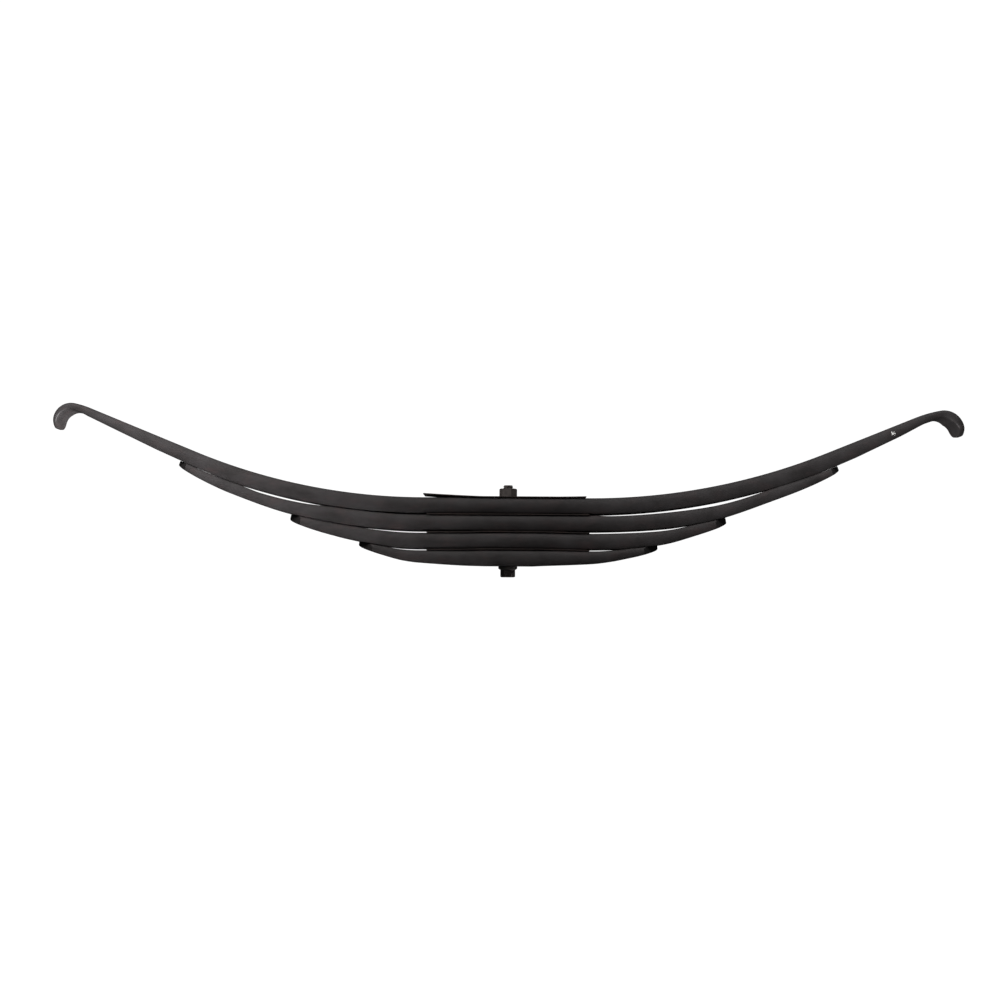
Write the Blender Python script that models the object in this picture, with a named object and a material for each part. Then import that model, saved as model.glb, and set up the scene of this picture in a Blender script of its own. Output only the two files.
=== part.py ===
"""A four-leaf slipper spring for a heavy axle, as a collection of separate solids.

The leaves nest under one another from the main leaf's top line downwards. Each side of the
spring has its own line: flat at the seat, then an arc, a straight arm, a slow easing arc and
the hook. Every leaf below follows that line at its own depth. A leaf is divided at the edge of
its clamped seat, so that each arm can turn about a hinge on the leaf's lower face there.

X runs along the spring, Y across it and Z up. The origin is on the bolt's axis, level with the
lower end of the bolt's head. Lengths are in metres and angles in radians.
"""

import math

import bmesh
import bpy
from mathutils import Vector

# Driving dimensions.
LEAF_WIDTH = 0.0762
LEAF_THICKNESS = 0.0191
HALF_SPAN = 0.548
SEAT_HALF_LENGTH = 0.100
CLEARANCE = 0.00025
SEAT_GAP = 0.0018
TIP_GAP = 0.00035
EDGE_BULGE_SHARE = 0.16
EDGE_FRACTIONS = (0.0, 0.2, 0.5, 0.8, 1.0)

# How far apart the sections of a leaf lie. All seats and liners have theirs at the same places.
SEAT_STATIONS = (0.085, 0.070, 0.055, 0.040, 0.028, 0.015)
BEND_SPACING = 0.030
STRAIGHT_SPACING = 0.045
EASING_SPACING = 0.012
HOOK_SPACING = 0.0055
LOWER_LEAF_SPACING = 0.022
TOP_LINER_SPACING = 0.009
STRAIGHT = 1e-9
SHARP_ANGLE = math.radians(35)

# The main leaf's top line on each side, from the bolt outwards.
SIDES = {
    "left": {
        "sign": -1,
        "bend_start": 0.104,
        "bend_end": 0.383,
        "arm_angle": math.radians(22.1),
        "easing_radius": 0.109,
        "hook_start_angle": math.radians(11.6),
        "hook_radius": 0.0215,
        "hook_end_length": 0.0085,
        "main_taper": ((0.335, LEAF_THICKNESS), (0.427, 0.0160)),
        "main_thickness": (0.0103, 0.0078, 0.0072, 0.0044, 0.0034),
        "gap_1": ((0.110, SEAT_GAP), (0.200, 0.0008), (0.262, 0.0014), (0.330, TIP_GAP)),
        "gap_2": ((0.028, SEAT_GAP), (0.055, 0.0025), (0.115, 0.0026), (0.215, TIP_GAP)),
        "gap_3": ((0.045, SEAT_GAP), (0.075, 0.0020), (0.110, 0.0020), (0.155, TIP_GAP)),
    },
    "right": {
        "sign": 1,
        "bend_start": 0.095,
        "bend_end": 0.390,
        "arm_angle": math.radians(22.1),
        "easing_radius": 0.153,
        "hook_start_angle": math.radians(10.1),
        "hook_radius": 0.0245,
        "hook_end_length": 0.0055,
        "main_taper": ((0.390, LEAF_THICKNESS), (0.420, 0.0183), (0.480, 0.0143)),
        "main_thickness": (0.0116, 0.0082, 0.0104, 0.0066, 0.0046),
        "gap_1": ((0.110, SEAT_GAP), (0.238, 0.0036), (0.322, TIP_GAP)),
        "gap_2": ((0.035, SEAT_GAP), (0.095, 0.0027), (0.175, 0.0028), (0.228, TIP_GAP)),
        "gap_3": ((0.080, SEAT_GAP), (0.104, 0.0020), (0.145, TIP_GAP)),
    },
}

# The shorter leaves: half length, where the taper starts, thickness at the tip, and the length
# and width of the cut across each corner of the tip.
LOWER_LEAVES = {
    "second_leaf": (0.397, 0.195, 0.0050, 0.010, 0.014),
    "third_leaf": (0.2548, 0.130, 0.0062, 0.013, 0.016),
    "fourth_leaf": (0.1740, 0.030, 0.0040, 0.016, 0.018),
}
LEAF_NAMES = ("main_leaf", *LOWER_LEAVES)
HOOK_CORNER_CUT = (0.011, 0.026)
HOOK_CORNER_FRACTIONS = (0.4, 0.15, 0.0)

# The centre bolt and its nut.
BOLT_RADIUS = 0.0060
HOLE_RADIUS = 0.0063
HEAD_ACROSS_FLATS = 0.0156
HEAD_HEIGHT = 0.0092
FLANGE_RADIUS = 0.0115
FLANGE_HEIGHT = 0.0041
NUT_ACROSS_FLATS = 0.0190
NUT_HEIGHT = 0.0104
NUT_TURN = math.radians(-12)
BOLT_STICKS_OUT = 0.0040
THREAD_CHAMFER = 0.0012
HEX_CHAMFER = 0.0010
FLANGE_UNDERCUT = 0.0020
FLANGE_SLOPE_HEIGHT = 0.0015
DRILL_LENGTH = 0.4
PUNCH_MARK_DEPTH = 0.0001
SEAT_PUNCH_MARK_RADIUS = 0.0125
LINER_PUNCH_MARK_RADIUS = 0.0112
ROUND_POINTS = 24

# The liners. Each lies on the leaf below it, and the top one is sprung up at both ends.
LINER_THICKNESS = SEAT_GAP - 2 * CLEARANCE
LINER_WIDTH = 0.0750
LINER_HALF_LENGTH = 0.098
TOP_LINER_THICKNESS = 0.0014
TOP_LINER_LEFT = {"end": -0.1022, "lift_start": -0.030, "lift": 0.0033}
TOP_LINER_RIGHT = {"end": 0.0939, "lift_start": 0.062, "lift": 0.0006}
LIFT_POWER = 1.2

LOWER_FACE = HEAD_HEIGHT + FLANGE_HEIGHT + CLEARANCE
MAIN_TOP = LOWER_FACE + 4 * LEAF_THICKNESS + 3 * SEAT_GAP
NUT_BOTTOM = MAIN_TOP + TOP_LINER_THICKNESS + 2 * CLEARANCE
BOLT_TOP = NUT_BOTTOM + NUT_HEIGHT + BOLT_STICKS_OUT


def straight_arm_length(side):
    """The straight arm's length, which brings the hook's outermost line to the half span."""
    bend_radius = (side["bend_end"] - side["bend_start"]) / side["arm_angle"]
    reach = side["bend_start"] + bend_radius * math.sin(side["arm_angle"])
    reach += side["easing_radius"] * (math.sin(side["arm_angle"]) - math.sin(side["hook_start_angle"]))
    reach += side["hook_radius"] * (1 + math.sin(side["hook_start_angle"]))
    return (HALF_SPAN - reach) / math.cos(side["arm_angle"])


def line_pieces(side):
    """The top line as (length, first angle, last angle), from the bolt outwards."""
    arm, start = side["arm_angle"], side["hook_start_angle"]
    down = -math.pi / 2
    return (
        (side["bend_start"], 0.0, 0.0),
        (side["bend_end"] - side["bend_start"], 0.0, arm),
        (straight_arm_length(side), arm, arm),
        (side["easing_radius"] * (arm - start), arm, start),
        (side["hook_radius"] * (start - down), start, down),
        (side["hook_end_length"], down, down),
    )


def piece_ends(side):
    """The distance along the line at which each of its pieces ends."""
    ends = []
    for length, _, _ in line_pieces(side):
        ends.append(length + (ends[-1] if ends else 0.0))
    return ends


def line_point(side, distance):
    """Where the top line is at a distance from the bolt, as (x outwards, z, angle)."""
    x, z = 0.0, MAIN_TOP
    for length, first, last in line_pieces(side):
        part = min(distance, length)
        angle = first + (last - first) * part / length
        if abs(last - first) < STRAIGHT:
            x += part * math.cos(first)
            z += part * math.sin(first)
        else:
            radius = length / (last - first)
            x += radius * (math.sin(angle) - math.sin(first))
            z -= radius * (math.cos(angle) - math.cos(first))
        distance -= part
        if distance <= 0:
            break
    return x, z, angle


def smooth_between(stations, distance):
    """A value eased between (distance, value) stations and level outside them."""
    if distance <= stations[0][0]:
        return stations[0][1]
    for (start, low), (end, high) in zip(stations, stations[1:]):
        if distance <= end:
            share = (distance - start) / (end - start)
            return low + (high - low) * share * share * (3 - 2 * share)
    return stations[-1][1]


def thickness(leaf, side, distance):
    """A leaf's thickness at a distance along it."""
    if leaf == "main_leaf":
        ends = piece_ends(side)
        middle = (ends[3] + ends[4]) / 2
        places = (ends[2], ends[3], middle, ends[4], ends[5])
        stations = (*side["main_taper"], *zip(places, side["main_thickness"]))
        for (start, thick), (end, next_thick) in zip(stations, stations[1:]):
            if distance < end:
                share = max(0.0, (distance - start) / (end - start))
                return thick + (next_thick - thick) * share
        return stations[-1][1]
    half_length, taper_start, tip, _, _ = LOWER_LEAVES[leaf]
    left_over = min(1.0, max(0.0, (half_length - distance) / (half_length - taper_start)))
    return tip + (LEAF_THICKNESS - tip) * math.sqrt(left_over)


def depth(leaf, side, distance):
    """How far a leaf's upper face lies below the main leaf's top line."""
    total = 0.0
    for i in range(LEAF_NAMES.index(leaf)):
        total += thickness(LEAF_NAMES[i], side, distance)
        total += smooth_between(side[f"gap_{i + 1}"], distance)
    return total


def half_length(leaf, side):
    return piece_ends(side)[-1] if leaf == "main_leaf" else LOWER_LEAVES[leaf][0]


def half_width(leaf, side, distance):
    """Half the leaf's width, less towards a tip with its corners cut off or a hook's rounded end."""
    long, wide = HOOK_CORNER_CUT if leaf == "main_leaf" else LOWER_LEAVES[leaf][3:]
    left = half_length(leaf, side) - distance
    share = max(0.0, 1 - left / long)
    if leaf == "main_leaf":
        share = 1 - math.sqrt(max(0.0, 1 - share * share))
    return LEAF_WIDTH / 2 - wide * share


def ring(leaf, side, distance):
    """The leaf's outline square across it, as points that go once round."""
    x, z, angle = line_point(side, distance)
    top, thick = depth(leaf, side, distance), thickness(leaf, side, distance)
    bulge = EDGE_BULGE_SHARE * thick
    flat_half = half_width(leaf, side, distance) - bulge
    points = []
    for hand, fractions in ((-1, EDGE_FRACTIONS), (1, EDGE_FRACTIONS[::-1])):
        for share in fractions:
            down = top + share * thick
            y = hand * (flat_half + bulge * (1 - (2 * share - 1) ** 2))
            points.append(
                Vector((side["sign"] * (x + down * math.sin(angle)), y, z - down * math.cos(angle)))
            )
    return points


def spread(first, last, longest):
    """Distances from first to last in equal steps no longer than longest."""
    count = max(1, math.ceil((last - first) / longest))
    return [first + (last - first) * i / count for i in range(count + 1)]


def arm_distances(leaf, side):
    """Where an arm's rings lie: closer together in the hook and at the tip."""
    start, end = SEAT_HALF_LENGTH + CLEARANCE / 2, half_length(leaf, side)
    if leaf == "main_leaf":
        ends = piece_ends(side)
        body = spread(start, ends[1], BEND_SPACING)
        body += spread(ends[1], ends[2], STRAIGHT_SPACING)[1:]
        body += spread(ends[2], ends[3], EASING_SPACING)[1:]
        body += spread(ends[3], end - HOOK_CORNER_CUT[0], HOOK_SPACING)[1:]
        return body + [end - HOOK_CORNER_CUT[0] * fraction for fraction in HOOK_CORNER_FRACTIONS]
    corner_cut = LOWER_LEAVES[leaf][3]
    return spread(start, end - corner_cut, LOWER_LEAF_SPACING) + [end - corner_cut / 2, end]


def new_object(name, bm, origin, material, collection):
    """A bmesh made an object, with its origin at the given point."""
    bmesh.ops.recalc_face_normals(bm, faces=bm.faces)
    mesh = bpy.data.meshes.new(name)
    bm.to_mesh(mesh)
    bm.free()
    mesh.shade_smooth()
    mesh.set_sharp_from_angle(angle=SHARP_ANGLE)
    obj = bpy.data.objects.new(name, mesh)
    obj.location = origin
    mesh.materials.append(material)
    collection.objects.link(obj)
    return obj


def loft(name, rings, origin, material, collection):
    """A closed body through rings of points, with a flat face at each end."""
    bm = bmesh.new()
    loops = [[bm.verts.new(point - origin) for point in points] for points in rings]
    for first, second in zip(loops, loops[1:]):
        for i in range(len(first)):
            bm.faces.new((first[i - 1], first[i], second[i], second[i - 1]))
    bm.faces.new(loops[0])
    bm.faces.new(loops[-1])
    return new_object(name, bm, origin, material, collection)


def make_material(name, colour, roughness, metallic):
    material = bpy.data.materials.new(name)
    material.use_nodes = True
    shader = material.node_tree.nodes["Principled BSDF"]
    shader.inputs["Base Color"].default_value = (*colour, 1.0)
    shader.inputs["Roughness"].default_value = roughness
    shader.inputs["Metallic"].default_value = metallic
    return material


def hinge_point(leaf, side):
    """The hinge of an arm: on the leaf's lower face at the edge of the clamped seat."""
    x, z, _ = line_point(side, SEAT_HALF_LENGTH)
    down = depth(leaf, side, SEAT_HALF_LENGTH) + thickness(leaf, side, SEAT_HALF_LENGTH)
    return Vector((side["sign"] * x, 0.0, z - down))


def cut(obj, cutter):
    """Takes the cutter's shape out of a seat, a liner or the nut."""
    hole = obj.modifiers.new(cutter.name, "BOOLEAN")
    hole.operation = "DIFFERENCE"
    hole.object = cutter


def make_leaf(leaf, material, collection, cutter):
    """The leaf's clamped seat, as its first result, and its two arms."""
    left, right = SIDES["left"], SIDES["right"]
    distances = (SEAT_HALF_LENGTH - CLEARANCE / 2, *SEAT_STATIONS)
    rings = [ring(leaf, left, d) for d in distances]
    rings += [ring(leaf, right, d) for d in reversed(distances)]
    seat = loft(f"{leaf}_seat", rings, Vector(), material, collection)
    cut(seat, cutter)
    for name, side in SIDES.items():
        rings = [ring(leaf, side, d) for d in arm_distances(leaf, side)]
        loft(f"{leaf}_{name}_arm", rings, hinge_point(leaf, side), material, collection)
    return seat


def liner_ring(x, low, thick):
    half = LINER_WIDTH / 2
    corners = ((-half, low), (half, low), (half, low + thick), (-half, low + thick))
    return [Vector((x, y, z)) for y, z in corners]


def liner_under(leaf, leaf_below, material, collection, cutter):
    """A liner in the joint under a leaf, lying on the leaf below."""
    distances = (LINER_HALF_LENGTH, *SEAT_STATIONS)
    heights = []
    for name, order in (("left", distances), ("right", distances[::-1])):
        side = SIDES[name]
        for distance in order:
            low = MAIN_TOP - depth(leaf_below, side, distance) + CLEARANCE
            heights.append((side["sign"] * distance, low))
    rings = [liner_ring(x, low, LINER_THICKNESS) for x, low in heights]
    liner = loft(f"liner_below_{leaf}", rings, Vector(), material, collection)
    cut(liner, cutter)


def lift(x, end):
    """How far the top liner stands off the main leaf at x, towards one of its ends."""
    share = max(0.0, (x - end["lift_start"]) / (end["end"] - end["lift_start"]))
    return end["lift"] * share**LIFT_POWER


def make_liners(material, collection, cutter):
    """A liner in each joint between two leaves, and one on top of the main leaf, its result."""
    for leaf, leaf_below in zip(LEAF_NAMES, LEAF_NAMES[1:]):
        liner_under(leaf, leaf_below, material, collection, cutter)
    left, right = TOP_LINER_LEFT, TOP_LINER_RIGHT
    places = spread(left["end"], left["lift_start"], TOP_LINER_SPACING)
    places += spread(right["lift_start"], right["end"], TOP_LINER_SPACING)
    low = MAIN_TOP + CLEARANCE
    rings = [
        liner_ring(x, low + lift(x, left) + lift(x, right), TOP_LINER_THICKNESS) for x in places
    ]
    liner = loft("top_liner", rings, Vector(), material, collection)
    cut(liner, cutter)
    return liner


def circle(radius, z):
    turns = [math.tau * i / ROUND_POINTS for i in range(ROUND_POINTS)]
    return [Vector((radius * math.cos(a), radius * math.sin(a), z)) for a in turns]


def hexagon(across_flats, z, turn=0.0, inset=0.0):
    """A hexagon with a corner on +X before it is turned, as many points as a circle has."""
    sixth = math.tau / 6
    points = []
    for i in range(ROUND_POINTS):
        angle = math.tau * i / ROUND_POINTS
        radius = across_flats / 2 / math.cos(angle % sixth - sixth / 2)
        radius = min(radius, across_flats / math.sqrt(3) - inset)
        points.append(
            Vector((radius * math.cos(angle + turn), radius * math.sin(angle + turn), z))
        )
    return points


def make_bolt(material, collection):
    """Hexagon head, flange and shank in one piece, from the head upwards."""
    flange_top = HEAD_HEIGHT + FLANGE_HEIGHT
    rings = [
        hexagon(HEAD_ACROSS_FLATS, 0.0, inset=HEX_CHAMFER),
        hexagon(HEAD_ACROSS_FLATS, HEX_CHAMFER),
        hexagon(HEAD_ACROSS_FLATS, HEAD_HEIGHT),
        circle(FLANGE_RADIUS - FLANGE_UNDERCUT, HEAD_HEIGHT),
        circle(FLANGE_RADIUS, HEAD_HEIGHT + FLANGE_SLOPE_HEIGHT),
        circle(FLANGE_RADIUS, flange_top),
        circle(BOLT_RADIUS, flange_top),
        circle(BOLT_RADIUS, BOLT_TOP - THREAD_CHAMFER),
        circle(BOLT_RADIUS - THREAD_CHAMFER, BOLT_TOP),
    ]
    loft("centre_bolt", rings, Vector(), material, collection)


def make_nut(material, collection, cutter):
    """A plain hexagon nut, chamfered at both ends."""
    top = NUT_BOTTOM + NUT_HEIGHT
    levels = (
        (NUT_BOTTOM, HEX_CHAMFER),
        (NUT_BOTTOM + HEX_CHAMFER, 0.0),
        (top - HEX_CHAMFER, 0.0),
        (top, HEX_CHAMFER),
    )
    rings = [hexagon(NUT_ACROSS_FLATS, z, NUT_TURN, inset) for z, inset in levels]
    nut = loft("centre_nut", rings, Vector(), material, collection)
    cut(nut, cutter)


def make_drill(name, radius, length, middle, collection):
    """An upright cylinder on the bolt's axis, to cut with."""
    bpy.ops.mesh.primitive_cylinder_add(
        vertices=ROUND_POINTS, radius=radius, depth=length, location=(0, 0, middle)
    )
    cutter = bpy.context.object
    cutter.name = name
    cutter.hide_render = True
    cutter.display_type = "WIRE"
    for holder in list(cutter.users_collection):
        holder.objects.unlink(cutter)
    collection.objects.link(cutter)
    return cutter


def cut_punch_marks(lowest_seat, top_liner, collection):
    """The shallow round mark that the punch leaves about the hole on the two outermost faces."""
    depth_both_ways = 2 * PUNCH_MARK_DEPTH
    radius = SEAT_PUNCH_MARK_RADIUS
    cut(lowest_seat, make_drill("seat_punch", radius, depth_both_ways, LOWER_FACE, collection))
    top = MAIN_TOP + CLEARANCE + TOP_LINER_THICKNESS
    radius = LINER_PUNCH_MARK_RADIUS
    cut(top_liner, make_drill("liner_punch", radius, depth_both_ways, top, collection))


def main():
    for obj in list(bpy.data.objects):
        bpy.data.objects.remove(obj)
    spring = bpy.data.collections.new("leaf_spring")
    cutters = bpy.data.collections.new("cutters")
    bpy.context.scene.collection.children.link(spring)
    bpy.context.scene.collection.children.link(cutters)
    cutter = make_drill("bolt_drill", HOLE_RADIUS, DRILL_LENGTH, BOLT_TOP / 2, cutters)
    leaf_paint = make_material("leaf_paint", (0.022, 0.022, 0.024), 0.45, 0.0)
    liner_paint = make_material("liner_paint", (0.030, 0.030, 0.031), 0.55, 0.0)
    bolt_paint = make_material("bolt_paint", (0.026, 0.026, 0.027), 0.40, 0.0)
    seats = [make_leaf(leaf, leaf_paint, spring, cutter) for leaf in LEAF_NAMES]
    top_liner = make_liners(liner_paint, spring, cutter)
    cut_punch_marks(seats[-1], top_liner, cutters)
    make_bolt(bolt_paint, spring)
    make_nut(bolt_paint, spring, cutter)


main()
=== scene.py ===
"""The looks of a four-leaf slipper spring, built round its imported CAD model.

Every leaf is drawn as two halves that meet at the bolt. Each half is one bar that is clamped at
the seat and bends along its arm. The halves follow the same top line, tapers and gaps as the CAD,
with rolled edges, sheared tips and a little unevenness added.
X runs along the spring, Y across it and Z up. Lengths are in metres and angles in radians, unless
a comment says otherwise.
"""

import math

import bmesh
import bpy
from mathutils import Matrix, Vector, noise


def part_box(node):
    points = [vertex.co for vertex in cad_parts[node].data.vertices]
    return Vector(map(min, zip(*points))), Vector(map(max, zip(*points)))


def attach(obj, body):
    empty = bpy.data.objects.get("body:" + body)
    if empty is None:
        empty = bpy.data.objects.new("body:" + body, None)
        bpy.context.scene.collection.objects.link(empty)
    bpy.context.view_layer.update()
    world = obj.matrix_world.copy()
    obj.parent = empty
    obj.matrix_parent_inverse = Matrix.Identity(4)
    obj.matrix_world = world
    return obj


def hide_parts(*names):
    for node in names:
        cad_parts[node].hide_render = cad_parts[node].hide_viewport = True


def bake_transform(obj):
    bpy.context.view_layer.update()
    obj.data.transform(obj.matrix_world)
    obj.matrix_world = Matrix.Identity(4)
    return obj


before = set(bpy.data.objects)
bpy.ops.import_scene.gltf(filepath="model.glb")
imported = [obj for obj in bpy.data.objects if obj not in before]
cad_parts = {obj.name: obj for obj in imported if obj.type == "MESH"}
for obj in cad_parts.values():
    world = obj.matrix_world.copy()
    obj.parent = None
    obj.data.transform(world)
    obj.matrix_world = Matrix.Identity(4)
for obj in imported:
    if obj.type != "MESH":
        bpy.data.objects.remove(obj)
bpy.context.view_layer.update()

# Driving dimensions of the leaves, as in the CAD.
LEAF_WIDTH = 0.0762
LEAF_THICKNESS = 0.0191
HALF_SPAN = 0.548
SEAT_HALF_LENGTH = 0.100
SEAT_GAP = 0.0018
TIP_GAP = 0.00035
TIP_PRESS = 0.00022
EDGE_BULGE_SHARE = 0.16
STRAIGHT = 1e-9

# Each side's top line from the bolt outwards, and then (distance from the bolt, value) stations.
# "main_thickness" goes on from "main_taper" with the main leaf's thickness where the straight arm
# ends, at the hook's start, middle and end, and at the leaf's tip. "gap_1" is below the main leaf,
# "gap_2" below the second and "gap_3" below the third. "wear" is how far the second leaf's top lies
# below the CAD's, which opens the slit above it. At the tip it is below nought, because the leaf
# presses up against the main leaf there.
SIDES = {
    "left": {
        "sign": -1,
        "bend_start": 0.104,
        "bend_end": 0.383,
        "arm_angle": math.radians(22.1),
        "easing_radius": 0.109,
        "hook_start_angle": math.radians(11.6),
        "hook_radius": 0.0215,
        "hook_end_length": 0.0085,
        "main_taper": ((0.335, LEAF_THICKNESS), (0.427, 0.0160)),
        "main_thickness": (0.0103, 0.0078, 0.0072, 0.0044, 0.0034),
        "gap_1": ((0.110, SEAT_GAP), (0.200, 0.0008), (0.262, 0.0014), (0.330, TIP_GAP)),
        "gap_2": ((0.028, SEAT_GAP), (0.055, 0.0025), (0.115, 0.0026), (0.215, TIP_GAP)),
        "gap_3": ((0.045, SEAT_GAP), (0.075, 0.0020), (0.110, 0.0020), (0.155, TIP_GAP)),
        "wear": ((0.20, 0.0), (0.25, 0.0015), (0.295, 0.0017), (0.325, -TIP_PRESS)),
    },
    "right": {
        "sign": 1,
        "bend_start": 0.095,
        "bend_end": 0.390,
        "arm_angle": math.radians(22.1),
        "easing_radius": 0.153,
        "hook_start_angle": math.radians(10.1),
        "hook_radius": 0.0245,
        "hook_end_length": 0.0055,
        "main_taper": ((0.390, LEAF_THICKNESS), (0.420, 0.0183), (0.480, 0.0143)),
        "main_thickness": (0.0116, 0.0082, 0.0104, 0.0066, 0.0046),
        "gap_1": ((0.110, SEAT_GAP), (0.238, 0.0036), (0.322, TIP_GAP)),
        "gap_2": ((0.035, SEAT_GAP), (0.095, 0.0027), (0.175, 0.0028), (0.228, TIP_GAP)),
        "gap_3": ((0.080, SEAT_GAP), (0.104, 0.0020), (0.145, TIP_GAP)),
        "wear": ((0.10, 0.0), (0.125, 0.0009), (0.20, 0.0003), (0.27, 0.0008), (0.33, -TIP_PRESS)),
    },
}

# A corner cut is the (length along the leaf, width across it) that a tip's corners lose.
LOWER_LEAVES = {
    "second_leaf": {
        "half_length": 0.397,
        "taper_start": 0.195,
        "tip_thickness": 0.0050,
        "corner_cut": (0.010, 0.014),
    },
    "third_leaf": {
        "half_length": 0.2548,
        "taper_start": 0.130,
        "tip_thickness": 0.0062,
        "corner_cut": (0.013, 0.016),
    },
    "fourth_leaf": {
        "half_length": 0.1740,
        "taper_start": 0.030,
        "tip_thickness": 0.0040,
        "corner_cut": (0.016, 0.018),
    },
}
LEAF_NAMES = ("main_leaf", *LOWER_LEAVES)
HOOK_CORNER_CUT = (0.011, 0.026)
MAIN_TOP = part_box("main_leaf_seat")[1].z

# The finer shape of a leaf: rolled corners, the spacing of its sections, and its unevenness.
CORNER_RADIUS = 0.0013
SHEARED_CORNER_SHARE = 0.35
MOST_ROUNDING_SHARE = 0.3
CORNER_STEPS = 4
EDGE_STEPS = 6
FLAT_SHARES = (0.98, 0.75, 0.4, 0.0, -0.4, -0.75, -0.98)
RING_SPACING = 0.005
HOOK_RING_SPACING = 0.0018
HOOK_END_STEPS = 9
TIP_ROUNDING = 0.0005
SHEAR_RUN = 0.0006
WAVE_HEIGHT = 0.00008
WAVE_LENGTH = 0.034
DENT_HEIGHT = 0.00003
DENT_LENGTH = 0.009
DENT_SHIFT = Vector((7.0, 3.0, 1.0))
FLAT_FACE_SHARE = 0.15
SHARP_ANGLE = math.radians(40)

# Liners, and where the seats that they lie on have sections in the CAD.
SEAT_SECTIONS = (0.0, 0.015, 0.028, 0.040, 0.055, 0.070, 0.085, SEAT_HALF_LENGTH)
LINER_WIDTH = 0.0750
LINER_HALF_LENGTH = 0.098
CLEARANCE = 0.00025
LINER_THICKNESS = SEAT_GAP - 2 * CLEARANCE
TOP_LINER_THICKNESS = 0.0014
TOP_LINER_LEFT = {"end": -0.1022, "lift_start": -0.030, "lift": 0.0033}
TOP_LINER_RIGHT = {"end": 0.0939, "lift_start": 0.062, "lift": 0.0006}
LIFT_POWER = 1.2
LINER_SPACING = 0.004
SHEET_EDGE = 0.0003

# The bolt's hole, and the drill that makes it.
HOLE_RADIUS = 0.0063
DRILL_SIDES = 48
DRILL_LENGTH = 0.4
DRILL_CENTRE = (0.0, 0.0, 0.05)

# Bolt and nut. The flange flares out through (distance inside its rim, height above the head).
BOLT_RADIUS = 0.0060
HEAD_ACROSS_FLATS = 0.0156
HEAD_HEIGHT = 0.0092
HEAD_STEP = 0.0002
FLANGE_RADIUS = 0.0115
FLANGE_FLARE = ((0.0020, 0.0), (0.0008, 0.0007), (0.0002, 0.0012), (0.0, 0.0017))
FLANGE_EDGE = 0.0003
NUT_ACROSS_FLATS = 0.0190
NUT_TURN = math.radians(-12)
ROUND_POINTS = 96
CHAMFER_SLOPE = 1.9
CHAMFER_FACE = 0.28
CHAMFER_STEPS = (-CHAMFER_FACE, 0.0, 0.2, 0.4, 0.6, 0.8, 1.0)
TURNED_SHARP_ANGLE = math.radians(28)

# The thread: a tooth rises with a slope to a flat crest, and the bolt's tip is chamfered.
THREAD_PITCH = 0.00175
THREAD_DEPTH = 0.00085
THREAD_STEPS = 12
THREAD_CREST = 1.25
THREAD_SLOPE = 3.2
THREAD_BELOW_NUT = 0.019
THREAD_RUN_IN = 0.001
TIP_CHAMFER = 0.0013

# Paint, as linear colours and roughness, and one chip on the main leaf's right arm.
LEAF_DARK = (0.021, 0.019, 0.019)
LEAF_LIGHT = (0.037, 0.034, 0.035)
LEAF_TINT = (0.046, 0.033, 0.033)
LEAF_ROUGHNESS = 0.50
LINER_DARK = (0.014, 0.011, 0.010)
LINER_LIGHT = (0.026, 0.020, 0.018)
LINER_TINT = (0.034, 0.021, 0.017)
LINER_ROUGHNESS = 0.6
BOLT_DARK = (0.048, 0.043, 0.041)
BOLT_LIGHT = (0.105, 0.091, 0.085)
BOLT_TINT = (0.080, 0.066, 0.058)
BOLT_ROUGHNESS = 0.42
PAINT_SPECULAR = 0.22
CHIP_CENTRE = (0.4612, -LEAF_WIDTH / 2, 0.1752)
CHIP_RADIUS = 0.0021
CHIP_EDGE = 0.0003
CHIP_RAGGEDNESS = 0.0016
CHIP_COLOUR = (0.72, 0.72, 0.70)

# Studio: floor, the world's grey light from below, level and above, and the spots' softness.
FLOOR_HEIGHT = -0.8
FLOOR_SIZE = 9.0
FLOOR_GLOW = 1.0
FLOOR_DARK = (0.86, 0.86, 0.86)
FLOOR_LIGHT = (0.90, 0.90, 0.90)
WHITE = (1.0, 1.0, 1.0)
KEY_COLOUR = (1.0, 0.97, 0.96)
BACKDROP_STRENGTH = 1.05
WORLD_LIGHT = 0.25
WORLD_BELOW = (0.30, 0.30, 0.30)
WORLD_LEVEL = (0.12, 0.12, 0.12)
WORLD_ABOVE = (1.0, 0.99, 1.0)
SPOT_RADIUS = 0.15

# Camera: in front of the spring and a little below it. Its lens and sensor are in millimetres.
CAMERA_DISTANCE = 3.2
CAMERA_BELOW_MAIN_TOP = 0.12288
CAMERA_TILT_UP = math.radians(2.17131)
CAMERA_TURN_LEFT = math.radians(0.17813)
CAMERA_ROLL = math.radians(0.37242)
CAMERA_LENS = 94.95
CAMERA_SENSOR = 36.0
CAMERA_CLIP_END = 100.0


# ---------------------------------------------------------------- the leaves' line and sections


def straight_arm_length(side):
    """The straight arm's length, which brings the hook's outermost line to the half span."""
    bend_radius = (side["bend_end"] - side["bend_start"]) / side["arm_angle"]
    reach = side["bend_start"] + bend_radius * math.sin(side["arm_angle"])
    easing_rise = math.sin(side["arm_angle"]) - math.sin(side["hook_start_angle"])
    reach += side["easing_radius"] * easing_rise
    reach += side["hook_radius"] * (1 + math.sin(side["hook_start_angle"]))
    return (HALF_SPAN - reach) / math.cos(side["arm_angle"])


def line_pieces(side):
    """The top line as (length, first angle, last angle), from the bolt outwards."""
    arm, start = side["arm_angle"], side["hook_start_angle"]
    down = -math.pi / 2
    return (
        (side["bend_start"], 0.0, 0.0),
        (side["bend_end"] - side["bend_start"], 0.0, arm),
        (straight_arm_length(side), arm, arm),
        (side["easing_radius"] * (arm - start), arm, start),
        (side["hook_radius"] * (start - down), start, down),
        (side["hook_end_length"], down, down),
    )


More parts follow.
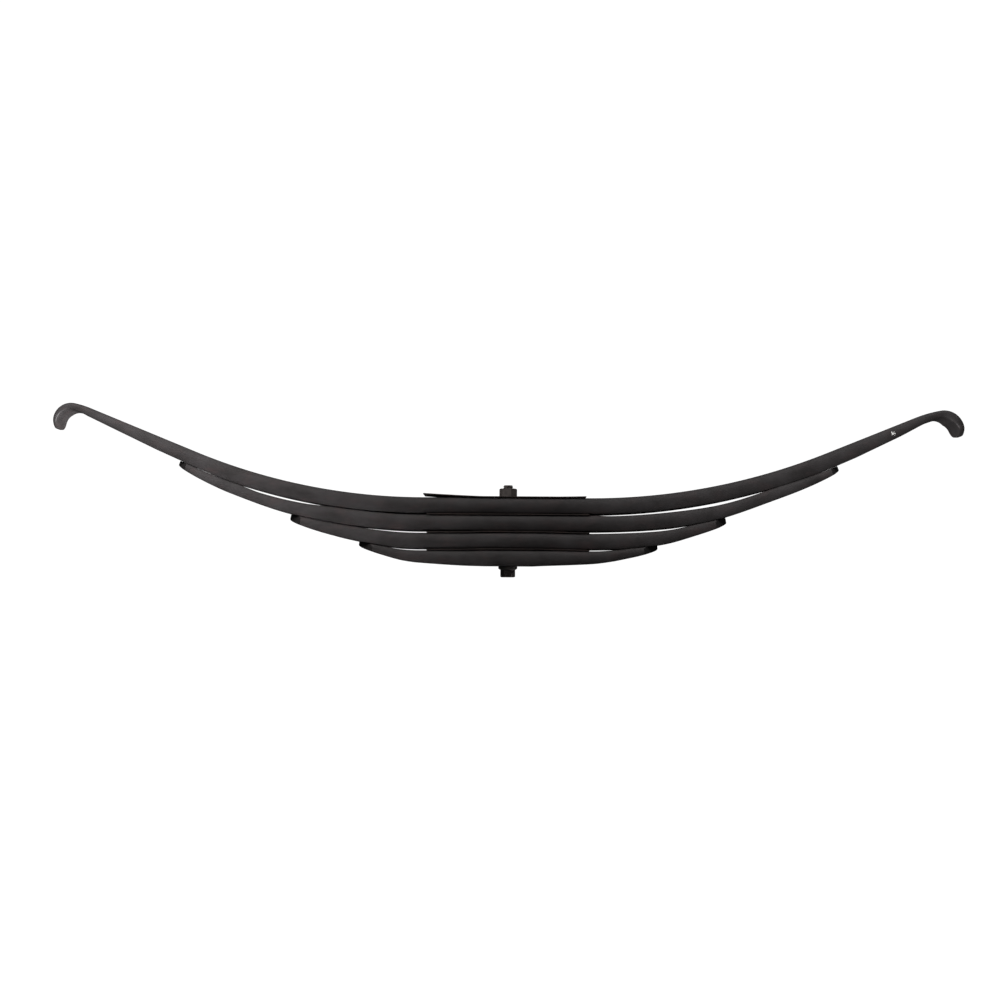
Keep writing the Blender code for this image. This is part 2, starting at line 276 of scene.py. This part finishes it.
def piece_ends(side):
    """The distance along the line at which each of its pieces ends."""
    ends = []
    for length, _, _ in line_pieces(side):
        ends.append(length + (ends[-1] if ends else 0.0))
    return ends


def line_point(side, distance):
    """Where the top line is at a distance from the bolt, as (x outwards, z, angle)."""
    x, z = 0.0, MAIN_TOP
    for length, first, last in line_pieces(side):
        part = min(distance, length)
        angle = first + (last - first) * part / length
        if abs(last - first) < STRAIGHT:
            x += part * math.cos(first)
            z += part * math.sin(first)
        else:
            radius = length / (last - first)
            x += radius * (math.sin(angle) - math.sin(first))
            z -= radius * (math.cos(angle) - math.cos(first))
        distance -= part
        if distance <= 0:
            break
    return x, z, angle


def smooth_between(stations, distance):
    """A value eased between (distance, value) stations and level outside them."""
    if distance <= stations[0][0]:
        return stations[0][1]
    for (start, low), (end, high) in zip(stations, stations[1:]):
        if distance <= end:
            share = (distance - start) / (end - start)
            return low + (high - low) * share * share * (3 - 2 * share)
    return stations[-1][1]


def thickness(leaf, side, distance):
    """A leaf's thickness at a distance along it."""
    if leaf == "main_leaf":
        ends = piece_ends(side)
        middle = (ends[3] + ends[4]) / 2
        places = (ends[2], ends[3], middle, ends[4], ends[5])
        stations = (*side["main_taper"], *zip(places, side["main_thickness"]))
        for (start, thick), (end, next_thick) in zip(stations, stations[1:]):
            if distance < end:
                share = max(0.0, (distance - start) / (end - start))
                return thick + (next_thick - thick) * share
        return stations[-1][1]
    shape = LOWER_LEAVES[leaf]
    tip = shape["tip_thickness"]
    taper_length = shape["half_length"] - shape["taper_start"]
    left_over = min(1.0, max(0.0, (shape["half_length"] - distance) / taper_length))
    return tip + (LEAF_THICKNESS - tip) * math.sqrt(left_over)


def depth(leaf, side, distance):
    """How far a leaf's upper face lies below the main leaf's top line."""
    total = 0.0
    for i in range(LEAF_NAMES.index(leaf)):
        total += thickness(LEAF_NAMES[i], side, distance)
        total += smooth_between(side[f"gap_{i + 1}"], distance)
    return total


def half_length(leaf, side):
    """A leaf's length from the bolt to its tip, measured along it."""
    return piece_ends(side)[-1] if leaf == "main_leaf" else LOWER_LEAVES[leaf]["half_length"]


def corner_cut(leaf):
    """The length and width that the corners of a leaf's tip lose."""
    return HOOK_CORNER_CUT if leaf == "main_leaf" else LOWER_LEAVES[leaf]["corner_cut"]


def half_outline(half_width, thick, bulge, radius):
    """One edge of a leaf's section as (y, depth) points, from the top face to the lower one."""
    flat_half = half_width - bulge
    radius = min(radius, MOST_ROUNDING_SHARE * thick)

    def edge(share):
        """The bulging edge at a share of the thickness."""
        return flat_half + bulge * (1 - (2 * share - 1) ** 2), share * thick

    near = radius / thick
    points = []
    for upper in (True, False):
        corner = edge(0.0 if upper else 1.0)
        on_face = (corner[0] - radius, corner[1])
        on_edge = edge(near if upper else 1 - near)
        curve = []
        for i in range(CORNER_STEPS + 1):
            t = i / CORNER_STEPS
            weights = ((1 - t) ** 2, 2 * t * (1 - t), t * t)
            ends = (on_face, corner, on_edge)
            curve.append(tuple(sum(w * p[k] for w, p in zip(weights, ends)) for k in (0, 1)))
        points += curve if upper else curve[::-1]
        if upper:
            steps = [i / (EDGE_STEPS + 1) for i in range(1, EDGE_STEPS + 1)]
            points += [edge(near + (1 - 2 * near) * step) for step in steps]
    return points


def section(leaf, side, distance, inset=0.0):
    """A leaf's outline at a distance along it, as points that go once round."""
    x, z, angle = line_point(side, distance)
    thick = thickness(leaf, side, distance)
    wear = 0.0
    if leaf == "second_leaf":
        wear = smooth_between(side["wear"], distance)
        thick -= wear
    long, wide = corner_cut(leaf)
    left = half_length(leaf, side) - distance
    share = max(0.0, 1 - left / long)
    if leaf == "main_leaf":
        width_lost = wide * (1 - math.sqrt(max(0.0, 1 - share * share)))
        uncut = 1.0
    else:
        width_lost = wide * share
        uncut = min(1.0, max(0.0, (left - long) / SHEAR_RUN + 1))
    bulge = EDGE_BULGE_SHARE * thick * uncut
    radius = CORNER_RADIUS * (SHEARED_CORNER_SHARE + (1 - SHEARED_CORNER_SHARE) * uncut)
    half = LEAF_WIDTH / 2 - width_lost - inset
    outline = half_outline(half, thick - 2 * inset, bulge, radius)
    top = depth(leaf, side, distance) + wear + inset
    flat_half, lowest = outline[0][0], outline[-1][1]
    under = [(flat_half * across, lowest) for across in FLAT_SHARES]
    over = [(-flat_half * across, 0.0) for across in FLAT_SHARES]
    mirrored = [(-y, down) for y, down in reversed(outline)]
    points = []
    for y, down in outline + under + mirrored + over:
        down += top
        out = x + down * math.sin(angle)
        points.append(Vector((side["sign"] * out, y, z - down * math.cos(angle))))
    return points


def spread(first, last, longest):
    """Distances from first to last in equal steps no longer than longest."""
    count = max(1, math.ceil((last - first) / longest))
    return [first + (last - first) * i / count for i in range(count + 1)]


def section_distances(leaf, side):
    """Where a half leaf's sections lie, closer together in the hook and round the corner cuts."""
    end = half_length(leaf, side)
    cut_start = end - corner_cut(leaf)[0]
    if leaf != "main_leaf":
        body = spread(0.0, cut_start - SHEAR_RUN, RING_SPACING)
        return body + spread(cut_start, end - TIP_ROUNDING, HOOK_RING_SPACING)
    hook_start = piece_ends(side)[2]
    body = spread(0.0, hook_start, RING_SPACING)
    body += spread(hook_start, cut_start - SHEAR_RUN, HOOK_RING_SPACING)[1:]
    last = corner_cut(leaf)[0] - TIP_ROUNDING
    turns = [math.pi / 2 * i / HOOK_END_STEPS for i in range(1, HOOK_END_STEPS + 1)]
    return body + [cut_start + last * math.sin(turn) for turn in turns]


# ---------------------------------------------------------------- mesh helpers


def finish_mesh(name, bm, material, sharp=SHARP_ANGLE):
    """The bmesh as an object with one material, shaded smooth up to its sharp edges."""
    bmesh.ops.recalc_face_normals(bm, faces=bm.faces)
    mesh = bpy.data.meshes.new(name)
    bm.to_mesh(mesh)
    bm.free()
    mesh.shade_smooth()
    mesh.set_sharp_from_angle(angle=sharp)
    mesh.materials.append(material)
    obj = bpy.data.objects.new(name, mesh)
    bpy.context.scene.collection.objects.link(obj)
    return obj


def store_rest(obj):
    """Keeps where each point is at rest, so that a texture stays on a piece that bends."""
    mesh = obj.data
    rest = mesh.attributes.new("rest_position", "FLOAT_VECTOR", "POINT")
    for i, vertex in enumerate(mesh.vertices):
        rest.data[i].vector = vertex.co


def loft(rings):
    """A closed bmesh through rings of points, with a flat face at each end."""
    bm = bmesh.new()
    loops = [[bm.verts.new(point) for point in points] for points in rings]
    for first, second in zip(loops, loops[1:]):
        for i in range(len(first)):
            bm.faces.new((first[i - 1], first[i], second[i], second[i - 1]))
    bm.faces.new(loops[0])
    bm.faces.new(loops[-1])
    return bm


def uneven(point):
    """How far a rolled and forged bar's surface falls short at a point, as a negative height."""
    wave = (noise.noise(point / WAVE_LENGTH) - 1) * WAVE_HEIGHT
    dent = (noise.noise(point / DENT_LENGTH + DENT_SHIFT) - 1) * DENT_HEIGHT
    return wave + dent


def drill(obj):
    """The bolt's hole through a piece."""
    bpy.ops.mesh.primitive_cylinder_add(
        vertices=DRILL_SIDES, radius=HOLE_RADIUS, depth=DRILL_LENGTH, location=DRILL_CENTRE
    )
    cutter = bpy.context.object
    hole = obj.modifiers.new("hole", "BOOLEAN")
    hole.operation = "DIFFERENCE"
    hole.object = cutter
    graph = bpy.context.evaluated_depsgraph_get()
    cut = bpy.data.meshes.new_from_object(obj.evaluated_get(graph))
    old = obj.data
    obj.modifiers.clear()
    obj.data = cut
    cut.name = obj.name
    bpy.data.meshes.remove(old)
    bpy.data.objects.remove(cutter)


# ---------------------------------------------------------------- materials


class Nodes:
    """A short way to add and join a material's nodes."""

    # Where a Mix node that mixes colours has its two colours and its result.
    COLOUR_INPUTS = (6, 7)
    COLOUR_OUTPUT = 2

    def __init__(self, name):
        self.material = bpy.data.materials.new(name)
        self.material.use_nodes = True
        self.tree = self.material.node_tree
        self.shader = self.tree.nodes["Principled BSDF"]

    def add(self, kind, inputs=(), **settings):
        """A new node whose inputs are values or other nodes' outputs."""
        node = self.tree.nodes.new(kind)
        for key, value in settings.items():
            setattr(node, key, value)
        for key, value in dict(inputs).items():
            if isinstance(value, bpy.types.NodeSocket):
                self.tree.links.new(value, node.inputs[key])
            else:
                node.inputs[key].default_value = value
        return node

    def rest(self, stretch=(1.0, 1.0, 1.0)):
        """The rest position, stretched along the axes."""
        place = self.add("ShaderNodeAttribute", attribute_name="rest_position")
        inputs = {"Vector": place.outputs["Vector"], "Scale": stretch}
        return self.add("ShaderNodeMapping", inputs).outputs["Vector"]

    def noise(self, scale, detail, roughness=0.5, stretch=(1.0, 1.0, 1.0)):
        """Noise fixed to the rest position, from 0 to 1."""
        inputs = {
            "Vector": self.rest(stretch),
            "Scale": scale,
            "Detail": detail,
            "Roughness": roughness,
        }
        return self.add("ShaderNodeTexNoise", inputs).outputs["Fac"]

    def ramp(self, value, stops):
        """A colour ramp through (position, colour) stops."""
        node = self.add("ShaderNodeValToRGB", {"Fac": value})
        elements = node.color_ramp.elements
        while len(elements) < len(stops):
            elements.new(0.5)
        for element, (position, colour) in zip(elements, stops):
            element.position = position
            element.color = (*colour, 1.0)
        return node.outputs["Color"]

    def span(self, value, low, high, to_low, to_high):
        """value between low and high, mapped to a new range and held inside it."""
        inputs = {
            "Value": value,
            "From Min": low,
            "From Max": high,
            "To Min": to_low,
            "To Max": to_high,
        }
        return self.add("ShaderNodeMapRange", inputs).outputs["Result"]

    def math(self, operation, first, second):
        """A sum or another operation on two values."""
        node = self.add("ShaderNodeMath", {0: first, 1: second}, operation=operation)
        return node.outputs["Value"]

    def mix(self, factor, first, second):
        """Two colours mixed, from the first at factor 0 to the second at 1."""
        node = self.add("ShaderNodeMix", {"Factor": factor}, data_type="RGBA")
        for index, value in zip(self.COLOUR_INPUTS, (first, second)):
            if isinstance(value, bpy.types.NodeSocket):
                self.tree.links.new(value, node.inputs[index])
            else:
                node.inputs[index].default_value = (*value, 1.0)
        return node.outputs[self.COLOUR_OUTPUT]

    def bump(self, height, strength, distance, normal=None):
        """A bumpy normal, laid over another one where it is given."""
        inputs = {"Height": height, "Strength": strength, "Distance": distance}
        if normal is not None:
            inputs["Normal"] = normal
        return self.add("ShaderNodeBump", inputs).outputs["Normal"]

    def link(self, output, name):
        """Joins an output to the shader's input of that name."""
        self.tree.links.new(output, self.shader.inputs[name])


def add_paint_chip(nodes, colour):
    """One spot on the main leaf's right arm where pale primer shows through the black."""
    place = nodes.rest()
    wobble = nodes.noise(700.0, detail=3.0)
    inputs = {0: place, 1: CHIP_CENTRE}
    away = nodes.add("ShaderNodeVectorMath", inputs, operation="DISTANCE").outputs["Value"]
    shift = nodes.span(wobble, 0.3, 0.7, -CHIP_RAGGEDNESS, CHIP_RAGGEDNESS)
    ragged = nodes.math("ADD", away, shift)
    inside = nodes.span(ragged, CHIP_RADIUS - CHIP_EDGE, CHIP_RADIUS, 1.0, 0.0)
    return nodes.mix(inside, colour, CHIP_COLOUR)


def paint(name, dark, light, tint, roughness, chip=False):
    """Satin black paint: patchy colour and gloss over a peened, slightly blistered surface."""
    nodes = Nodes(name)
    patches = nodes.noise(26.0, detail=4.0, roughness=0.6, stretch=(1.0, 1.0, 1.6))
    fine = nodes.noise(160.0, detail=4.0, roughness=0.65)
    blotch = nodes.noise(75.0, detail=3.0, roughness=0.6, stretch=(0.5, 1.0, 1.0))
    colour = nodes.ramp(patches, ((0.32, dark), (0.68, light)))
    tinted = nodes.span(blotch, 0.50, 0.72, 0.0, 0.55)
    colour = nodes.mix(tinted, colour, tint)
    grain_light = nodes.span(fine, 0.55, 0.85, 0.0, 0.5)
    colour = nodes.mix(grain_light, colour, light)
    if chip:
        colour = add_paint_chip(nodes, colour)
    nodes.link(colour, "Base Color")
    gloss = nodes.span(patches, 0.3, 0.7, roughness - 0.07, roughness + 0.07)
    gloss = nodes.math("ADD", gloss, nodes.span(fine, 0.3, 0.7, -0.05, 0.06))
    nodes.link(gloss, "Roughness")
    nodes.shader.inputs["Specular IOR Level"].default_value = PAINT_SPECULAR
    orange_peel = nodes.noise(520.0, detail=2.0)
    peening = nodes.noise(1500.0, detail=2.0, roughness=0.6)
    normal = nodes.bump(blotch, strength=0.35, distance=0.0006)
    normal = nodes.bump(orange_peel, strength=0.30, distance=0.00022, normal=normal)
    normal = nodes.bump(peening, strength=0.22, distance=0.00008, normal=normal)
    nodes.link(normal, "Normal")
    return nodes.material


leaf_paint = paint("leaf_paint_looks", LEAF_DARK, LEAF_LIGHT, LEAF_TINT, LEAF_ROUGHNESS, chip=True)
liner_paint = paint("liner_paint_looks", LINER_DARK, LINER_LIGHT, LINER_TINT, LINER_ROUGHNESS)
bolt_paint = paint("bolt_paint_looks", BOLT_DARK, BOLT_LIGHT, BOLT_TINT, BOLT_ROUGHNESS)


# ---------------------------------------------------------------- leaves


def make_half_leaf(leaf, side_name):
    """Half a leaf, from the bolt to one tip, along that side's arm."""
    side = SIDES[side_name]
    distances = section_distances(leaf, side)
    rings = [section(leaf, side, distance) for distance in distances]
    rings.append(section(leaf, side, half_length(leaf, side), TIP_ROUNDING))
    bm = loft(rings)
    bmesh.ops.recalc_face_normals(bm, faces=bm.faces)
    bm.normal_update()
    for vertex in bm.verts:
        share = max(FLAT_FACE_SHARE, abs(vertex.normal.y))
        if abs(vertex.co.x) > HOLE_RADIUS:
            vertex.co += vertex.normal * uneven(vertex.co) * share
    half = finish_mesh(f"{leaf}_{side_name}_half", bm, leaf_paint)
    drill(half)
    store_rest(half)
    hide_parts(f"{leaf}_{side_name}_arm", f"{leaf}_seat")
    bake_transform(half)


for leaf_name in LEAF_NAMES:
    for side_name in SIDES:
        make_half_leaf(leaf_name, side_name)


# ---------------------------------------------------------------- liners


def sheet_ring(x, low, thick, inset=0.0):
    """A sheet's section across the spring, with its long edges eased."""
    half, ease = LINER_WIDTH / 2 - inset, SHEET_EDGE
    corners = (
        (-half + ease, low),
        (0.0, low),
        (half - ease, low),
        (half, low + ease),
        (half, low + thick - ease),
        (half - ease, low + thick),
        (0.0, low + thick),
        (-half + ease, low + thick),
        (-half, low + thick - ease),
        (-half, low + ease),
    )
    return [Vector((x, y, z)) for y, z in corners]


def make_liner(name, places, low_at, thick):
    """A liner through its sections, drilled for the bolt, that stands for the CAD node."""
    rings = [sheet_ring(x, low_at(x), thick) for x in places]
    for index, inward in ((0, 1), (-1, -1)):
        x = places[index]
        rings[index] = sheet_ring(x, low_at(x) + SHEET_EDGE, thick - 2 * SHEET_EDGE, SHEET_EDGE)
        eased = sheet_ring(x + inward * SHEET_EDGE, low_at(x), thick)
        rings.insert(1 if index == 0 else len(rings) - 1, eased)
    liner = finish_mesh(f"{name}_sheet", loft(rings), liner_paint)
    drill(liner)
    store_rest(liner)
    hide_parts(name)
    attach(liner, "seat")


def lift(x, end):
    """How far the top liner stands off the main leaf at x, towards one of its ends."""
    share = max(0.0, (x - end["lift_start"]) / (end["end"] - end["lift_start"]))
    return end["lift"] * share**LIFT_POWER


def seat_top(leaf, x):
    """A seat's top height at x, on the straight facets that the CAD has between its sections."""
    side = SIDES["left" if x < 0 else "right"]
    for start, end in zip(SEAT_SECTIONS, SEAT_SECTIONS[1:]):
        if abs(x) <= end:
            break
    first, last = (MAIN_TOP - depth(leaf, side, distance) for distance in (start, end))
    return first + (last - first) * (abs(x) - start) / (end - start)


for leaf_name, below in zip(LEAF_NAMES, LEAF_NAMES[1:]):
    make_liner(
        f"liner_below_{leaf_name}",
        spread(-LINER_HALF_LENGTH, LINER_HALF_LENGTH, LINER_SPACING),
        lambda x, leaf=below: seat_top(leaf, x) + CLEARANCE,
        LINER_THICKNESS,
    )
make_liner(
    "top_liner",
    spread(TOP_LINER_LEFT["end"], TOP_LINER_RIGHT["end"], LINER_SPACING),
    lambda x: MAIN_TOP + CLEARANCE + lift(x, TOP_LINER_LEFT) + lift(x, TOP_LINER_RIGHT),
    TOP_LINER_THICKNESS,
)


# ---------------------------------------------------------------- bolt and nut


def hex_ring(across_flats, z, turn, limit):
    """A hexagon's outline at a height, held inside a circle, which cuts its corners back."""
    sixth = math.tau / 6
    points = []
    for i in range(ROUND_POINTS):
        angle = math.tau * i / ROUND_POINTS
        radius = across_flats / 2 / math.cos(angle % sixth - sixth / 2)
        radius = min(radius, limit)
        around = (radius * math.cos(angle + turn), radius * math.sin(angle + turn), z)
        points.append(Vector(around))
    return points


def round_ring(radius, z):
    """A circle round the bolt's axis at a height."""
    turns = [math.tau * i / ROUND_POINTS for i in range(ROUND_POINTS)]
    return [Vector((radius * math.cos(turn), radius * math.sin(turn), z)) for turn in turns]


def hex_rings(across_flats, low, high, turn, cut_low, cut_high):
    """A hexagon prism whose cut ends are turned down to a circle inside its flats."""
    inscribed, corner = across_flats / 2, across_flats / math.sqrt(3)
    run = (corner - inscribed) / CHAMFER_SLOPE

    def end_rings(end, inward, cut):
        """One end's rings, from its face inwards."""
        if not cut:
            return [hex_ring(across_flats, end, turn, corner)]
        rings = []
        for step in CHAMFER_STEPS:
            limit = inscribed + (corner - inscribed) * step
            z = end + inward * run * (step + CHAMFER_FACE)
            rings.append(hex_ring(across_flats, z, turn, limit))
        return rings

    return end_rings(low, 1, cut_low) + end_rings(high, -1, cut_high)[::-1]


def thread_rings(low, high):
    """The bolt's threaded end, a true helix whose crests run out at the chamfered tip."""
    rings = []
    for z in spread(low, high, THREAD_PITCH / THREAD_STEPS):
        points = []
        for i in range(ROUND_POINTS):
            angle = math.tau * i / ROUND_POINTS
            phase = (z / THREAD_PITCH - angle / math.tau) % 1.0
            tooth = min(1.0, max(0.0, THREAD_CREST - abs(phase - 0.5) * THREAD_SLOPE))
            radius = BOLT_RADIUS - THREAD_DEPTH * (1 - tooth)
            radius = min(radius, BOLT_RADIUS - TIP_CHAMFER + (high - z))
            points.append(Vector((radius * math.cos(angle), radius * math.sin(angle), z)))
        rings.append(points)
    return rings


def make_bolt():
    """The bolt from its head upwards: hexagon, flared flange, plain shank and thread."""
    flange_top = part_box("fourth_leaf_seat")[0].z - CLEARANCE
    bolt_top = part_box("centre_bolt")[1].z
    thread_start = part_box("centre_nut")[0].z - THREAD_BELOW_NUT
    head_top = HEAD_HEIGHT - HEAD_STEP
    rings = hex_rings(HEAD_ACROSS_FLATS, 0.0, head_top, 0.0, cut_low=True, cut_high=False)
    rings += [round_ring(FLANGE_RADIUS - inside, HEAD_HEIGHT + up) for inside, up in FLANGE_FLARE]
    rings += [
        round_ring(FLANGE_RADIUS, flange_top - FLANGE_EDGE),
        round_ring(FLANGE_RADIUS - FLANGE_EDGE, flange_top),
        round_ring(BOLT_RADIUS, flange_top),
        round_ring(BOLT_RADIUS, thread_start - THREAD_RUN_IN),
    ]
    rings += thread_rings(thread_start, bolt_top)
    bolt = finish_mesh("centre_bolt_turned", loft(rings), bolt_paint, TURNED_SHARP_ANGLE)
    store_rest(bolt)
    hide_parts("centre_bolt")
    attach(bolt, "seat")


def make_nut():
    """The nut, chamfered at both ends."""
    low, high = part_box("centre_nut")
    rings = hex_rings(NUT_ACROSS_FLATS, low.z, high.z, NUT_TURN, cut_low=True, cut_high=True)
    nut = finish_mesh("centre_nut_turned", loft(rings), bolt_paint, TURNED_SHARP_ANGLE)
    drill(nut)
    store_rest(nut)
    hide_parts("centre_nut")
    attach(nut, "seat")


make_bolt()
make_nut()


# ---------------------------------------------------------------- studio


def make_floor():
    """A plain white floor, well below the spring, which a mount holds up."""
    bpy.ops.mesh.primitive_plane_add(size=FLOOR_SIZE, location=(0, 0, FLOOR_HEIGHT))
    floor = bpy.context.object
    floor.name = "studio_floor"
    nodes = Nodes("floor_white")
    speck = nodes.noise(3.0, detail=2.0)
    nodes.link(nodes.ramp(speck, ((0.3, FLOOR_DARK), (0.7, FLOOR_LIGHT))), "Base Color")
    nodes.shader.inputs["Roughness"].default_value = 0.9
    nodes.shader.inputs["Specular IOR Level"].default_value = 0.0
    nodes.shader.inputs["Emission Color"].default_value = (*WHITE, 1.0)
    nodes.shader.inputs["Emission Strength"].default_value = FLOOR_GLOW
    floor.data.materials.append(nodes.material)
    floor.visible_diffuse = False
    floor.visible_glossy = False


def make_world():
    """White where the camera sees past the object, and a dim light that falls on it all round."""
    world = bpy.data.worlds.new("white_studio")
    bpy.context.scene.world = world
    world.use_nodes = True
    tree = world.node_tree
    seen = tree.nodes["Background"]
    seen.inputs["Color"].default_value = (*WHITE, 1.0)
    seen.inputs["Strength"].default_value = BACKDROP_STRENGTH
    lit = tree.nodes.new("ShaderNodeBackground")
    lit.inputs["Strength"].default_value = WORLD_LIGHT
    place = tree.nodes.new("ShaderNodeTexCoord")
    split = tree.nodes.new("ShaderNodeSeparateXYZ")
    height = tree.nodes.new("ShaderNodeMapRange")
    height.inputs["From Min"].default_value = -1.0
    ramp = tree.nodes.new("ShaderNodeValToRGB")
    ramp.color_ramp.elements[0].color = (*WORLD_BELOW, 1.0)
    ramp.color_ramp.elements[1].color = (*WORLD_ABOVE, 1.0)
    level = ramp.color_ramp.elements.new(0.5)
    level.color = (*WORLD_LEVEL, 1.0)
    tree.links.new(place.outputs["Generated"], split.inputs["Vector"])
    tree.links.new(split.outputs["Z"], height.inputs["Value"])
    tree.links.new(height.outputs["Result"], ramp.inputs["Fac"])
    tree.links.new(ramp.outputs["Color"], lit.inputs["Color"])
    path = tree.nodes.new("ShaderNodeLightPath")
    mixed = tree.nodes.new("ShaderNodeMixShader")
    tree.links.new(path.outputs["Is Camera Ray"], mixed.inputs["Fac"])
    tree.links.new(lit.outputs["Background"], mixed.inputs[1])
    tree.links.new(seen.outputs["Background"], mixed.inputs[2])
    tree.links.new(mixed.outputs["Shader"], tree.nodes["World Output"].inputs["Surface"])


def place_light(data, power, colour, place, target):
    """Puts a light at a place, turned to a target and unseen by the camera."""
    data.energy = power
    data.color = colour
    light = bpy.data.objects.new(data.name, data)
    light.location = place
    light.rotation_euler = (Vector(target) - Vector(place)).to_track_quat("-Z", "Y").to_euler()
    light.visible_camera = False
    bpy.context.scene.collection.objects.link(light)


def add_light(name, size, power, place, target, colour=WHITE):
    """A soft square light."""
    data = bpy.data.lights.new(name, "AREA")
    data.size = size
    place_light(data, power, colour, place, target)


def add_spot(name, cone, power, place, target):
    """A soft-edged white spot, with its cone in degrees."""
    data = bpy.data.lights.new(name, "SPOT")
    data.spot_size = math.radians(cone)
    data.spot_blend = 1.0
    data.shadow_soft_size = SPOT_RADIUS
    place_light(data, power, WHITE, place, target)


def make_camera():
    """A long lens a little below the spring, tilted up and turned slightly to its left."""
    camera = bpy.data.cameras.new("camera")
    camera.lens = CAMERA_LENS
    camera.sensor_width = CAMERA_SENSOR
    camera.clip_end = CAMERA_CLIP_END
    holder = bpy.data.objects.new("camera", camera)
    bpy.context.scene.collection.objects.link(holder)
    place = Matrix.Translation((0, -CAMERA_DISTANCE, MAIN_TOP - CAMERA_BELOW_MAIN_TOP))
    turn = Matrix.Rotation(CAMERA_TURN_LEFT, 4, "Z")
    tilt = Matrix.Rotation(math.pi / 2 + CAMERA_TILT_UP, 4, "X")
    holder.matrix_world = place @ turn @ tilt @ Matrix.Rotation(CAMERA_ROLL, 4, "Z")
    bpy.context.scene.camera = holder


make_floor()
make_world()
make_camera()
add_light(
    "key_left",
    size=0.8,
    power=20.0,
    place=(-1.0, -1.1, 1.2),
    target=(-0.45, 0, 0.15),
    colour=KEY_COLOUR,
)
add_light("top_right", size=0.9, power=9.5, place=(0.7, -1.0, 1.5), target=(0.2, 0, 0.1))
add_spot("left_arm", cone=11.5, power=470.0, place=(1.0, -1.1, -0.6), target=(-0.56, 0, 0.19))
add_spot("left_hook", cone=10.0, power=330.0, place=(0.9, -0.4, -0.75), target=(-0.55, 0, 0.18))
add_spot("right_hook", cone=13.0, power=200.0, place=(-1.0, -1.0, -0.6), target=(0.56, 0, 0.18))
bpy.context.scene.view_settings.view_transform = "Standard"
